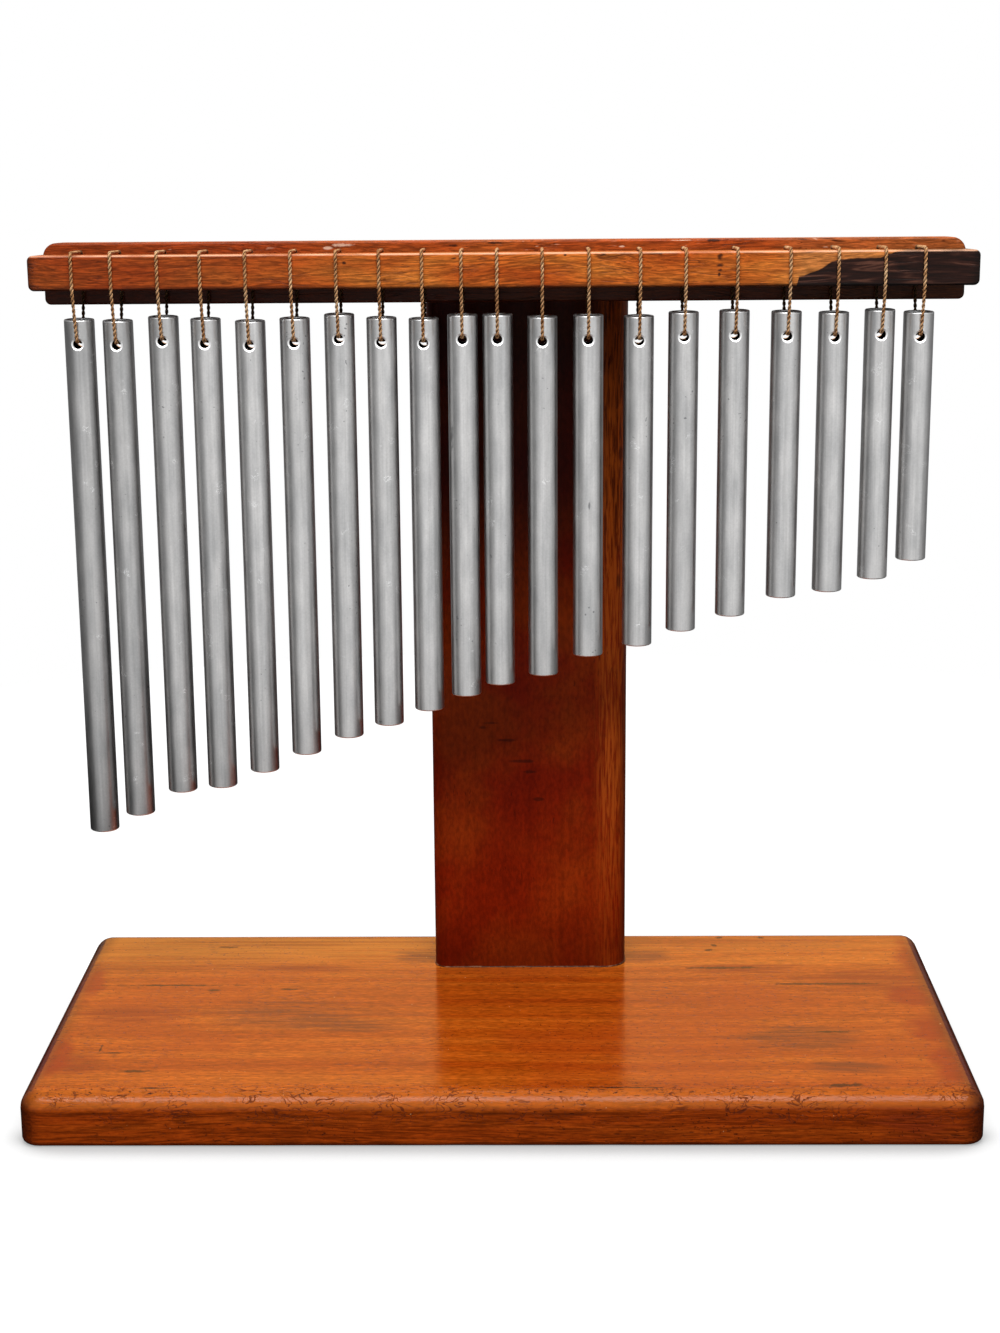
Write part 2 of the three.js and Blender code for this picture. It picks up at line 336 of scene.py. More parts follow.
def add_ply(shape, route, length, phase):
    """One of the two yarns. Its crest value is 1 on the outside of the twine and 0 where the yarns meet."""
    turns = round(length / PLY_PITCH)
    crest = shape.verts.layers.float["crest"]
    angles = around(PLY_SIDES)
    lays = [phase + turns * angle for angle in around(len(route))]
    rings = []
    for index, point in enumerate(route):
        side, out = across_route(route, index)
        centre = point + (side * math.cos(lays[index]) + out * math.sin(lays[index])) * PLY_OFFSET
        rings.append([centre + (side * math.cos(a) + out * math.sin(a)) * PLY_RADIUS for a in angles])
    for lay, ring in zip(lays, skin(shape, rings, closed=True)):
        for angle, vert in zip(angles, ring):
            vert[crest] = 0.5 + 0.5 * math.cos(angle - lay)


def add_hair(shape, root, out, along, chance):
    """A stray fibre: a thin bent spike of three sides."""
    length = chance.uniform(HAIR_SHORTEST, HAIR_LONGEST)
    lean = along * chance.uniform(-HAIR_LEAN, HAIR_LEAN)
    across = out.cross(along)
    rings = []
    for share in (0, 0.5, 1):
        centre = root + (out * share + lean * share * share) * length
        thick = HAIR_RADIUS * (1 + HAIR_TIP - share)
        rings.append([centre + side * thick for side in (across, along, -(across + along))])
    skin(shape, rings)


def add_knot(shape, centre):
    """An overhand knot, drawn as a trefoil."""
    up = Vector((0, 0, 1))
    angles = around(PLY_SIDES)
    rings = []
    for turn in around(KNOT_STEPS):
        out = Vector((math.cos(2 * turn), math.sin(2 * turn), 0))
        place = centre + (out * (2 + math.cos(3 * turn)) + up * math.sin(3 * turn)) * KNOT_SIZE
        rings.append([place + (up * math.sin(a) - out * math.cos(a)) * KNOT_RADIUS for a in angles])
    skin(shape, rings, closed=True)


def make_twine(number, material):
    tube_node = f"chime_tube_{number:02d}"
    loop_node = f"twine_loop_{number:02d}"
    route, length = twine_route(tube_node)
    chance = random.Random(number)
    shape = bmesh.new()
    shape.verts.layers.float.new("crest")
    start_phase = chance.uniform(0, math.pi)
    for phase in (start_phase, start_phase + math.pi):
        add_ply(shape, route, length, phase)
    in_front = [index for index, point in enumerate(route) if point.y < route[0].y]
    for _ in range(HAIRS_PER_LOOP):
        index = chance.choice(in_front)
        side, out = across_route(route, index)
        angle = chance.uniform(0, 2 * math.pi)
        away = side * math.cos(angle) + out * math.sin(angle)
        add_hair(shape, route[index] + away * PLY_OFFSET, away, away.cross(side.cross(out)), chance)
    add_knot(shape, route[0])
    piece = solid_from(f"twine_{number:02d}", shape)
    smooth(piece)
    paint(piece, material)
    rail_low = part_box("front_rail")[0]
    hinge = Vector((route[0].x, route[0].y, rail_low.z))
    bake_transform(piece, f"loop_{number:02d}", f"tube_{number:02d}", start=hinge, end=route[0])
    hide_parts(loop_node)
    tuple(route[0])


# Tubes


def cross_hole(centre, radius):
    """A cutter along Y for the hole through both walls. Its wide shallow mouths follow the round wall."""
    wide = HOLE_RADIUS + 2 * MOUTH_WIDTH
    out = radius + MOUTH_DEPTH
    deep = radius - MOUTH_DEPTH
    clear = 2 * radius
    half = [(HOLE_RADIUS, deep), (wide, out), (wide, clear)]
    profile = [(across, -along) for across, along in reversed(half)] + half
    shape = turned(profile, HOLE_SIDES, Matrix.Rotation(math.pi / 2, 4, "X"))
    for vert in shape.verts:
        if abs(vert.co.y) < (out + clear) / 2:
            fall = radius - math.sqrt(radius * radius - vert.co.x * vert.co.x)
            vert.co.y -= math.copysign(fall, vert.co.y)
    bmesh.ops.translate(shape, vec=centre, verts=shape.verts)
    return solid_from("hole", shape)


def shade_tube(piece, low, high):
    """Shades a tube's walls and rims as true rounds, and marks its cut rims and hole, and its bore."""
    mesh = piece.data
    middle = ((low + high) / 2).to_2d()
    outer = (high.y - low.y) / 2
    inmost = outer - TUBE_WALL + RIM_ROUND
    outmost = outer - RIM_ROUND
    normals = [None] * len(mesh.loops)
    fresh = mesh.attributes.new("fresh", "FLOAT", "FACE")
    bore = mesh.attributes.new("bore", "FLOAT", "FACE")
    for polygon in mesh.polygons:
        polygon.use_smooth = True
        rounds = []
        for index in polygon.vertices:
            place = mesh.vertices[index].co
            spoke = place.to_2d() - middle
            across = spoke.length - min(max(spoke.length, inmost), outmost)
            up = place.z - min(max(place.z, low.z + RIM_ROUND), high.z - RIM_ROUND)
            flat = spoke.normalized() * across
            rounds.append(Vector((flat.x, flat.y, up)))
        on_wall = all(abs(way.length - RIM_ROUND) < ROUND_TOLERANCE for way in rounds)
        on_rim = on_wall and abs(polygon.normal.z) > RIM_SLOPE
        inner = (polygon.center.to_2d() - middle).length < outer - TUBE_WALL / 2
        fresh.data[polygon.index].value = 0.0 if on_wall and not on_rim else 1.0
        bore.data[polygon.index].value = 1.0 if on_wall and not on_rim and inner else 0.0
        for loop, way in zip(polygon.loop_indices, rounds):
            normals[loop] = way.normalized() if on_wall else polygon.normal.copy()
    mesh.normals_split_custom_set(normals)


def make_tube(number, material):
    node = f"chime_tube_{number:02d}"
    low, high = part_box(node)
    centre = (low + high) / 2
    outer = (high.y - low.y) / 2
    bore = outer - TUBE_WALL
    places = [(bore, low.z), (outer, low.z), (outer, high.z), (bore, high.z)]
    outline = rounded_route([(Vector((across, 0, up)), RIM_ROUND) for across, up in places], RIM_STEPS)
    axis = Matrix.Translation((centre.x, centre.y, 0))
    shape = turned([(point.x, point.z) for point in outline], TUBE_SIDES, axis, closed=True)
    piece = solid_from(f"tube_{number:02d}", shape)
    cut(piece, [cross_hole(Vector((centre.x, centre.y, high.z - HOLE_BELOW_RIM)), outer)])
    shade_tube(piece, low, high)
    paint(piece, material)
    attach(piece, f"tube_{number:02d}")
    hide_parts(node)


# Wood


def block(low, high):
    shape = bmesh.new()
    bmesh.ops.create_cube(shape, size=1)
    bmesh.ops.scale(shape, vec=high - low, verts=shape.verts)
    bmesh.ops.translate(shape, vec=(low + high) / 2, verts=shape.verts)
    return shape


def round_edges(shape, radius, **planes):
    """Rounds the edges that lie in all of the planes, each given as x, y or z and its place."""

    def lies_in(place):
        return all(abs(getattr(place, axis) - at) < SAME_PLACE for axis, at in planes.items())

    edges = [edge for edge in shape.edges if all(lies_in(vert.co) for vert in edge.verts)]
    bevel = {"offset": radius, "segments": BEVEL_STEPS, "profile": ROUND_PROFILE, "clamp_overlap": True}
    bmesh.ops.bevel(shape, geom=edges, affect="EDGES", **bevel)


def wear(shape, low, high, axis, seed):
    """Cuts the block into short lengths along one axis and dents its rounded edges a little."""
    count = int((high[axis] - low[axis]) / WEAR_STEP)
    for step in range(1, count):
        place = low.copy()
        place[axis] += (high[axis] - low[axis]) * step / count
        square = Vector((0, 0, 0))
        square[axis] = 1
        everything = shape.verts[:] + shape.edges[:] + shape.faces[:]
        bmesh.ops.bisect_plane(shape, geom=everything, plane_co=place, plane_no=square)
    shape.normal_update()
    for vert in shape.verts:
        flat = max(abs(part) for part in vert.normal)
        ripple = noise.noise(vert.co * WEAR_PER_METRE + Vector((seed, seed, seed)))
        if flat < FLAT_NORMAL:
            turn = (1 - flat) / (1 - EDGE_NORMAL)
            vert.co -= vert.normal * WEAR_DEPTH * max(ripple, 0) * turn


def finish_wood(piece, node, material):
    smooth(piece, WOOD_SHARP)
    weighted = piece.modifiers.new("weighted", "WEIGHTED_NORMAL")
    weighted.keep_sharp = True
    paint(piece, material)
    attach(piece, "stand")
    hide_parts(node)


def screw_cutter(node):
    """The countersunk recess round a screw's head, open past the wood's face."""
    wide = SCREW_HEAD + SCREW_CLEARANCE
    narrow = SCREW_SHANK + SCREW_CLEARANCE
    mouth = -2 * SCREW_SUNK
    profile = [(wide, mouth), (wide, 0), (narrow, wide - narrow), (narrow, 2 * SCREW_HEAD)]
    return solid_from("recess", turned(profile, HOLE_SIDES, screw_place(node)))


def make_base(material):
    low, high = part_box("base_board")
    shape = block(low, high)
    for x in (low.x, high.x):
        for y in (low.y, high.y):
            round_edges(shape, BASE_CORNER, x=x, y=y)
    round_edges(shape, BASE_TOP_EDGE, z=high.z)
    round_edges(shape, BASE_BOTTOM_EDGE, z=low.z)
    wear(shape, low, high, 0, seed=3)
    piece = object_from("base", shape)
    cut(piece, [screw_cutter(f"base_screw_{number}") for number in (1, 2)])
    finish_wood(piece, "base_board", material)


def post_corners():
    """The places and radii of the post's upright edges. The right front one is worn rounder."""
    low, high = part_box("post")
    worn = ((high.x, low.y), POST_WORN_CORNER)
    others = [((x, y), POST_CORNER) for x, y in ((high.x, high.y), (low.x, high.y), (low.x, low.y))]
    return [worn] + others


def make_post(material):
    low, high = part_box("post")
    shape = block(low, high)
    for (x, y), radius in post_corners():
        round_edges(shape, radius, x=x, y=y)
    round_edges(shape, POST_TOP_EDGE, z=high.z)
    wear(shape, low, high, 2, seed=11)
    piece = object_from("upright", shape)
    cut(piece, [screw_cutter(f"post_screw_{number}") for number in (1, 2)])
    finish_wood(piece, "post", material)


def make_rail(name, node, shoulder, heel, screws, material, seed):
    low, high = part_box(node)
    shape = block(low, high)
    for x in (low.x, high.x):
        round_edges(shape, shoulder, x=x, z=high.z)
        round_edges(shape, heel, x=x, z=low.z)
    round_edges(shape, RAIL_EDGE, y=low.y)
    round_edges(shape, RAIL_EDGE, y=high.y)
    wear(shape, low, high, 0, seed)
    for vert in shape.verts:
        if vert.co.z > (low.z + high.z) / 2:
            vert.co.z -= RAIL_TOP_SLOPE * (vert.co.y - low.y)
    piece = object_from(name, shape)
    if screws:
        cut(piece, [screw_cutter(screw) for screw in screws])
    finish_wood(piece, node, material)


def make_glue(material):
    """The thin line of dried glue that was squeezed out round the foot of the post."""
    post_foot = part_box("post")[0].z
    base_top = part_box("base_board")[1].z
    up = Vector((0, 0, 1))
    corners = [(Vector((x, y, base_top)), radius) for (x, y), radius in post_corners()]
    outline, _ = evenly(rounded_route(corners), GLUE_STEP)
    rings = []
    for index, point in enumerate(outline):
        along = (outline[(index + 1) % len(outline)] - outline[index - 1]).normalized()
        out = along.cross(up)
        spread = GLUE_WIDTH * (GLUE_MEAN + GLUE_UNEVEN * noise.noise(point * GLUE_LUMPS_PER_METRE))
        foot = point + out * spread
        top = point + up * (post_foot - base_top + GLUE_RISE * spread)
        bulge = (foot + top) / 2 + (out + up) * GLUE_BULGE * spread
        rings.append([foot, bulge, top, point - out * GLUE_WIDTH])
    shape = bmesh.new()
    skin(shape, rings, closed=True)
    piece = solid_from("glue_line", shape)
    smooth(piece)
    paint(piece, material)
    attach(piece, "stand")


# Screws


def screw_place(node):
    """The move that takes +Z at the origin to a screw: to the middle of its face, pointing into the wood."""
    low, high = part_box(node)
    middle = (low + high) / 2
    if node.startswith("base"):
        return Matrix.Translation((middle.x, middle.y, low.z))
    return Matrix.Translation((middle.x, high.y, middle.z)) @ Matrix.Rotation(math.pi / 2, 4, "X")


def cross_recess(place):
    """Two tapered blades that cut the recess for a driver."""
    half = RECESS_WIDTH / 2
    plan = [(-RECESS_REACH, -half), (RECESS_REACH, -half), (RECESS_REACH, half), (-RECESS_REACH, half)]
    mouth = [Vector((x, y, -RECESS_DEPTH)) for x, y in plan]
    tip = [Vector((x * RECESS_TAPER, y, RECESS_DEPTH)) for x, y in plan]
    cutters = []
    for quarter in (0, 1):
        turn = place @ Matrix.Rotation(quarter * math.pi / 2, 4, "Z")
        shape = bmesh.new()
        skin(shape, [[turn @ point for point in ring] for ring in (mouth, tip)])
        cutters.append(solid_from("blade", shape))
    return cutters


def make_screw(node, material):
    low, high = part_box(node)
    length = max(high - low)
    cone = SCREW_HEAD - SCREW_SHANK
    neck = length - SCREW_TIP
    profile = [(SCREW_HEAD, 0), (SCREW_SHANK, cone), (SCREW_SHANK, neck), (SCREW_POINT, length)]
    place = screw_place(node)
    piece = solid_from(node.replace("screw", "screw_dressed"), turned(profile, HOLE_SIDES, place))
    cut(piece, cross_recess(place))
    smooth(piece, SCREW_SHARP)
    paint(piece, material)
    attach(piece, "stand")
    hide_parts(node)


# Materials


def colour(red, green, blue):
    """A shader colour from sRGB parts of 0 to 255."""
    parts = []
    for part in (red, green, blue):
        share = part / 255
        parts.append(share / 12.92 if share <= 0.04045 else ((share + 0.055) / 1.055) ** 2.4)
    return (*parts, 1.0)


def grey(level):
    return (level, level, level, 1.0)


class Nodes:
    """One node tree. Each call adds a node, sets or links its inputs and gives back an output."""

    def __init__(self, tree):
        self.tree = tree
        tree.nodes.clear()

    def add(self, kind, inputs, output=0, **settings):
        node = self.tree.nodes.new(kind)
        for name, value in settings.items():
            setattr(node, name, value)
        for key, value in inputs.items():
            if isinstance(value, bpy.types.NodeSocket):
                self.tree.links.new(value, node.inputs[key])
            else:
                node.inputs[key].default_value = value
        return node.outputs[output] if node.outputs else None

    def place(self):
        """Places in the CAD model's frame, in metres."""
        return self.add("ShaderNodeTexCoord", {}, "Object")

    def parts(self, vector):
        axes = self.add("ShaderNodeSeparateXYZ", {0: vector}).node.outputs
        return axes[0], axes[1], axes[2]

    def math(self, operation, first, second=0.0):
        return self.add("ShaderNodeMath", {0: first, 1: second}, operation=operation)

    def times(self, first, second):
        return self.math("MULTIPLY", first, second)

    def plus(self, first, second):
        return self.math("ADD", first, second)

    def minus(self, first, second):
        return self.math("SUBTRACT", first, second)

    def larger(self, first, second):
        return self.math("MAXIMUM", first, second)

    def about_zero(self, layer, amount):
        """A layer of noise moved to lie about zero, times an amount."""
        return self.times(self.minus(layer, 0.5), amount)

    def winding_lines(self, layer, width, core):
        """Thin lines where a layer of noise passes its middle."""
        return self.span(self.math("ABSOLUTE", self.minus(layer, 0.5)), width, core)

    def vector(self, operation, first, second, output=0):
        return self.add("ShaderNodeVectorMath", {0: first, 1: second}, output, operation=operation)

    def noise(self, vector, scale, detail, rough=0.5, twist=0.0):
        inputs = {"Vector": vector, "Scale": scale, "Detail": detail, "Roughness": rough, "Distortion": twist}
        return self.add("ShaderNodeTexNoise", inputs)

    def streaks(self, vector, sizes, detail, rough=0.5, twist=0.0):
        """Noise whose features have about these sizes along X, Y and Z, in metres."""
        stretched = self.vector("DIVIDE", vector, sizes)
        return self.noise(stretched, 1.0, detail, rough, twist)

    def span(self, value, low, high, at_low=0.0, at_high=1.0):
        """A smooth step from at_low to at_high as the value goes from low to high."""
        inputs = {0: value, 1: low, 2: high, 3: at_low, 4: at_high}
        return self.add("ShaderNodeMapRange", inputs, interpolation_type="SMOOTHSTEP")

    def ramp(self, value, stops):
        result = self.add("ShaderNodeValToRGB", {0: value})
        elements = result.node.color_ramp.elements
        while len(elements) < len(stops):
            elements.new(0.5)
        for element, (place, tint) in zip(elements, stops):
            element.position = place
            element.color = tint
        return result

    def mix(self, share, first, second, blend="MIX"):
        inputs = {0: share, 6: first, 7: second}
        return self.add("ShaderNodeMix", inputs, 2, data_type="RGBA", blend_type=blend)

    def bump(self, height, distance, strength):
        return self.add("ShaderNodeBump", {"Height": height, "Distance": distance, "Strength": strength})

    def surface(self, **inputs):
        """The shader and the output. Names have _ for a space."""
        named = {key.replace("_", " "): value for key, value in inputs.items()}
        shader = self.add("ShaderNodeBsdfPrincipled", named)
        self.add("ShaderNodeOutputMaterial", {"Surface": shader})


class Coat:
    """A colour in layers. It starts as a ramp of sRGB colours over a layer of noise."""

    def __init__(self, nodes, layer, stops):
        self.nodes = nodes
        self.tint = nodes.ramp(layer, [(place, colour(*tint)) for place, tint in stops.items()])

    def darken(self, factor):
        self.tint = self.nodes.mix(1.0, self.tint, factor, "MULTIPLY")

    def shade(self, layer, dark, light, reach=0.2):
        """Makes it darker where a layer of noise is low, and lighter where it is high."""
        self.darken(self.nodes.span(layer, 0.5 - reach, 0.5 + reach, dark, light))

    def blend(self, share, tint):
        self.tint = self.nodes.mix(share, self.tint, tint)

    def cover(self, share, amount, over):
        """Lays an sRGB colour over it: the share says where, the amount how thickly."""
        self.blend(self.nodes.times(share, amount), colour(*over))


def new_material(name):
    material = bpy.data.materials.new(name)
    material.use_nodes = True
    return material, Nodes(material.node_tree)


def marks(nodes, place, spots, tear):
    """Where one of the spots lies. A spot is three places and three half sizes, in millimetres."""
    covered = None
    for spot in spots:
        away = nodes.vector("SUBTRACT", place, Vector(spot[:3]) * MM)
        scaled = nodes.vector("DIVIDE", away, Vector(spot[3:]) * MM)
        reach = nodes.vector("LENGTH", scaled, (0, 0, 0), "Value")
        inside = nodes.span(nodes.plus(reach, tear), 1.0, 0.35)
        covered = inside if covered is None else nodes.larger(covered, inside)
    return covered


def ragged(nodes, place, scale, amount):
    """Noise that tears the edges of marks."""
    return nodes.about_zero(nodes.noise(place, scale, 3), amount)


class Grain:
    """Streaks that follow a wood's grain. Along is the grain's axis, and the lines wander sideways."""

    def __init__(self, nodes, along, wander):
        self.nodes = nodes
        self.along = along
        self.place = nodes.place()
        sway = nodes.streaks(self.place, self.sizes(0.16, 0.045), 2)
        off = nodes.about_zero(sway, wander)
        shift = [off, off, off]
        shift[along] = 0.0
        self.bent = nodes.vector("ADD", self.place, nodes.add("ShaderNodeCombineXYZ", dict(enumerate(shift))))

    def sizes(self, length, width):
        sizes = [width, width, width]
        sizes[self.along] = length
        return sizes

    def streaks(self, length, width, detail, rough=0.5, twist=0.0):
        return self.nodes.streaks(self.bent, self.sizes(length, width), detail, rough, twist)

    def dashes(self, length, width, gate):
        """Short thin dashes, such as open pores, where the gate lets them show."""
        return self.nodes.times(self.nodes.span(self.streaks(length, width, 1), 0.65, 0.74), gate)

    def cracks(self, length, width, gate):
        """Thin broken lines along the grain, where the gate lets them show."""
        lines = self.nodes.winding_lines(self.streaks(length, width, 2), 0.022, 0.006)
        return self.nodes.times(lines, gate)


def wood_surface(nodes, coat, fine, pores, rough, shine=0.12, worn=0.0):
    """Thin varnish over wood: it shines most at a low angle, pores are open and worn places are duller."""
    height = nodes.minus(nodes.times(fine, 0.4), pores)
    bump = nodes.bump(height, WOOD_RELIEF, 0.5)
    dull = nodes.plus(nodes.span(fine, 0.2, 1.0, rough + 0.06, rough - 0.06), worn)
    nodes.surface(Base_Color=coat.tint, Roughness=dull, Normal=bump, Specular_IOR_Level=shine)


# Marks on top of the base, as in the photo: x, y and the half sizes along them, in millimetres
BASE_MARKS = [
    (-131, 20, 4, 1.6), (-148, 26, 40, 1.2), (-96, 21, 6, 1.4), (-153, -69, 8, 1.8),
    (-171, -46, 0.7, 5), (-143, -86, 7, 1.3), (-166, -50, 9, 0.8), (101, 46, 22, 2.0),
    (146, 26, 30, 1.8), (141, -29, 13, 1.5), (140, -84, 10, 2.2), (52, -86, 22, 0.8),
    (96, 69, 2.6, 1.8), (99, 75, 2.2, 1.8), (102, 85, 2.4, 1.8), (122, 85, 2.4, 1.8),
    (-132, 74, 6, 1.6),
]
# The spots at (-40, 60) and (63, 60) are painted shade beside the foot of the post; the rest are smudges.
BASE_SMUDGES_AND_FOOT_SHADE = [
    (-88, -10, 54, 20), (-60, -24, 30, 8), (128, -36, 34, 18), (140, -29, 20, 3), (-40, 60, 16, 10),
    (63, 60, 15, 10), (146, -66, 20, 7),
]
BASE_STAINS = [
    (-92, 47, 30, 6), (112, 44, 34, 8), (170, 30, 34, 22), (-160, -8, 40, 14), (-180, -62, 18, 16),
]
BASE_EDGE_STAINS = [
    (187, -28, 13, 20), (188, -66, 12, 24), (182, 12, 15, 16), (189, 58, 11, 26),
    (-190, -50, 10, 26), (-188, 30, 8, 30),
]
MARK_DEPTH = 3
STAIN_DEPTH = 5
EDGE_STAIN_DEPTH = 9
FRONT_SMUDGE = (172, -94, 8, 30, 6, 9)


def on_base(spots, depth):
    """The spots on top of the base, with their height and depth."""
    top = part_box("base_board")[1].z / MM
    return [(x, y, top, across, along, depth) for x, y, across, along in spots]


def crackle(nodes, place, gate):
    """Fine curling cracks in old varnish, where the gate lets them show."""
    stretched = nodes.vector("MULTIPLY", place, (0.5, 1, 1))
    lines = nodes.winding_lines(nodes.noise(stretched, 230, 2, 0.5, 1.2), 0.03, 0.008)
    patches = nodes.span(nodes.noise(place, 46, 2), 0.38, 0.54)
    return nodes.times(lines, nodes.times(gate, patches))


def base_grain(nodes, wood, fine, cloud):
    """Orange-brown bands and fibres, redder in clouds, with painted light that makes it paler towards the
    rear.
    """
    x, y, _ = nodes.parts(wood.place)
    warm = {0.3: (154, 59, 8), 0.5: (171, 74, 12), 0.7: (190, 93, 22)}
    coat = Coat(nodes, wood.streaks(0.4, 0.012, 3), warm)
    coat.shade(wood.streaks(0.11, 0.002, 3), 0.89, 1.07)
    coat.shade(fine, 0.84, 1.1, 0.14)
    coat.shade(wood.streaks(0.0036, 0.001, 2, 0.6), 0.74, 1.22)
    coat.cover(nodes.span(cloud, 0.5, 0.66), 0.4, (160, 58, 14))
    # Painted light: the rear of the top is paler and yellower, in bands along the grain.
    rear_bands = nodes.span(wood.streaks(0.12, 0.003, 3), 0.38, 0.6, 0.4, 1.0)
    rear_painted_light = nodes.times(nodes.span(y, 0.03, 0.08), rear_bands)
    coat.cover(rear_painted_light, nodes.span(x, 0.0, 0.1, 0.7, 0.3), (232, 144, 50))
    return coat


def base_stains(nodes, wood, coat):
    """Red stains and brown smudges that soak along the grain, painted shade beside the post's foot, and
    maroon stains at the ends.
    """
    place = wood.place
    torn = nodes.about_zero(wood.streaks(0.05, 0.006, 4, 0.65), 2.4)
    soaked = nodes.span(wood.streaks(0.03, 0.0018, 3, 0.6), 0.36, 0.62, 0.3, 0.8)
    stains = marks(nodes, place, on_base(BASE_STAINS, STAIN_DEPTH), torn)
    coat.cover(stains, soaked, (126, 36, 14))
    # Brown smudges, and painted shade beside the post's foot.
    smudges_and_foot_shade = marks(nodes, place, on_base(BASE_SMUDGES_AND_FOOT_SHADE, STAIN_DEPTH) + [FRONT_SMUDGE], torn)
    coat.cover(smudges_and_foot_shade, soaked, (100, 44, 28))
    frayed = ragged(nodes, place, 70, 1.5)
    ends = marks(nodes, place, on_base(BASE_EDGE_STAINS, EDGE_STAIN_DEPTH), frayed)
    coat.cover(ends, 0.75, (138, 26, 10))


def base_faces(nodes, wood, coat):
    """Ribbed faces below the rounded edge, darker and redder with painted shade, and a painted highlight on
    the rounded front edge.
    """
    _, y, z = nodes.parts(wood.place)
    below = nodes.span(z, 0.0178, 0.0138)
    # Painted shade: the faces below the rounded edge are darker and redder.
    coat.cover(below, 0.55, (150, 50, 8))
    coat.shade(wood.streaks(0.03, 0.0016, 3, 0.6, 0.6), 0.9, 1.05, 0.14)
    ribs = nodes.span(wood.streaks(0.018, 0.0008, 3, 0.65, 0.8), 0.38, 0.62, 0.62, 1.3)
    coat.darken(nodes.plus(nodes.times(below, nodes.minus(ribs, 1.0)), 1.0))
    # A painted highlight along the upper part of the rounded front edge.
    over = nodes.times(nodes.span(z, 0.0162, 0.0185), nodes.span(y, -0.084, -0.09))
    coat.cover(over, 0.4, (212, 118, 44))


def base_pores(nodes, wood, cloud):
    """Open pores and small pits, closest together along the front edge."""
    place = wood.place
    _, y, z = nodes.parts(place)
    edge_row = nodes.times(nodes.span(y, -0.078, -0.085), nodes.span(z, 0.0195, 0.0222))
    gate = nodes.plus(nodes.span(nodes.noise(place, 26, 2), 0.42, 0.62, 0.0, 0.8), edge_row)
    pores = nodes.larger(wood.dashes(0.0036, 0.0008, gate), wood.dashes(0.0016, 0.0011, edge_row))
    pits = nodes.span(nodes.noise(place, 760, 1), 0.69, 0.74)
    specks = nodes.times(pits, nodes.span(cloud, 0.38, 0.56))
    return nodes.larger(pores, nodes.times(specks, 0.85))


def base_wood():
    material, nodes = new_material("base_wood")
    wood = Grain(nodes, 0, 0.01)
    place = wood.place
    x, y, z = nodes.parts(place)
    fine = wood.streaks(0.009, 0.0011, 3, 0.65, 0.5)
    cloud = nodes.noise(place, 16, 3)
    coat = base_grain(nodes, wood, fine, cloud)
    base_stains(nodes, wood, coat)
    base_faces(nodes, wood, coat)
    on_edge = nodes.times(nodes.span(y, -0.082, -0.087), nodes.span(z, 0.008, 0.014))
    cracks = crackle(nodes, place, on_edge)
    coat.cover(cracks, 0.75, (84, 28, 8))
    # Painted shade: the rounded ends of the base darken to a dark brown rim.
    side = nodes.plus(nodes.math("ABSOLUTE", x), nodes.times(cloud, 0.01))
    coat.cover(nodes.span(side, 0.19, 0.2015), 0.85, (62, 22, 9))
    scars = marks(nodes, place, on_base(BASE_MARKS, MARK_DEPTH), ragged(nodes, place, 240, 1.6))
    coat.cover(scars, 0.9, (44, 16, 10))
    pores = base_pores(nodes, wood, cloud)
    coat.cover(pores, 0.85, (48, 18, 7))
    # A broken dark line where the rounded edge meets the faces below.
    dark_edge_line = nodes.times(nodes.span(z, 0.0134, 0.0146), nodes.span(z, 0.016, 0.0148))
    broken = nodes.span(wood.streaks(0.05, 0.02, 2), 0.45, 0.6, 0.0, 0.5)
    coat.cover(dark_edge_line, broken, (70, 24, 8))
    flecks = nodes.span(nodes.noise(place, 560, 1), 0.81, 0.83)
    coat.cover(flecks, 0.5, (232, 186, 130))
    grit = nodes.plus(fine, nodes.noise(place, 520, 3, 0.6))
    dents = nodes.times(nodes.noise(place, 210, 3, 0.6), nodes.times(on_edge, 4.0))
    hollows = nodes.plus(nodes.plus(pores, cracks), dents)
    worn = nodes.plus(nodes.times(on_edge, 0.04), nodes.times(cracks, 0.5))
    wood_surface(nodes, coat, grit, hollows, 0.2, worn=worn)
    return material


# Marks on the other pieces, as in the photo: x, y, z and the half sizes along them, in millimetres
POST_MARKS = [
    (-5, 47.5, 140, 7, 3, 0.9), (2, 47.5, 132, 6, 3, 0.9), (9, 47.5, 122, 6, 3, 0.9),
    (12, 47.5, 117, 3.5, 3, 0.8), (-9, 47.5, 138, 3, 3, 1.2), (16, 47.5, 104, 3, 3, 1.0),
    (52, 50, 205, 1.2, 6, 5), (53, 50, 262, 1.2, 6, 4),
]


